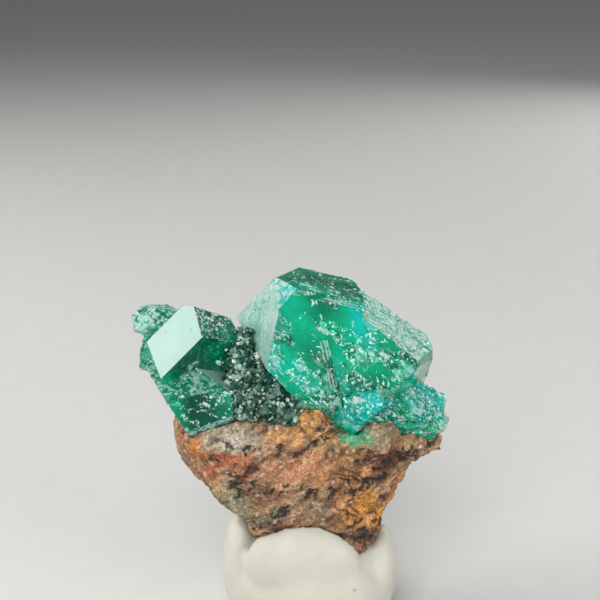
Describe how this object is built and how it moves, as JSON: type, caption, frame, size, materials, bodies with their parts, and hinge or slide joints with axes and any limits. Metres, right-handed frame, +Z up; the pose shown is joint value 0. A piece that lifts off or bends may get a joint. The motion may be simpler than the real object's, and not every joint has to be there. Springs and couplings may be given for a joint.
{
  "type": "mineral specimen",
  "caption": "Thumbnail mineral specimen: green dioptase crystals and a crust of tiny ones on brown rock, standing in a dab of white putty.",
  "frame": {"origin": "middle of the putty's flat foot", "axes": "+Z up, +X to the right of the side with the crystals' broad faces, +Y away from that side"},
  "size_m": [0.0249, 0.0144, 0.0289],
  "materials": {
    "rock": "rough broken stone, ochre to grey-brown with black spots",
    "dioptase": "glassy emerald crystal with frosted and etched faces",
    "tiny_dioptase": "dark green sparkling tiny crystals",
    "putty": "soft matt white, pressed by fingers"
  },
  "bodies": {
    "root": {"matrix": "rock", "main_crystals": "dioptase", "left_crystals": "dioptase", "druse": "tiny_dioptase", "putty": "putty"}
  },
  "joints": []
}
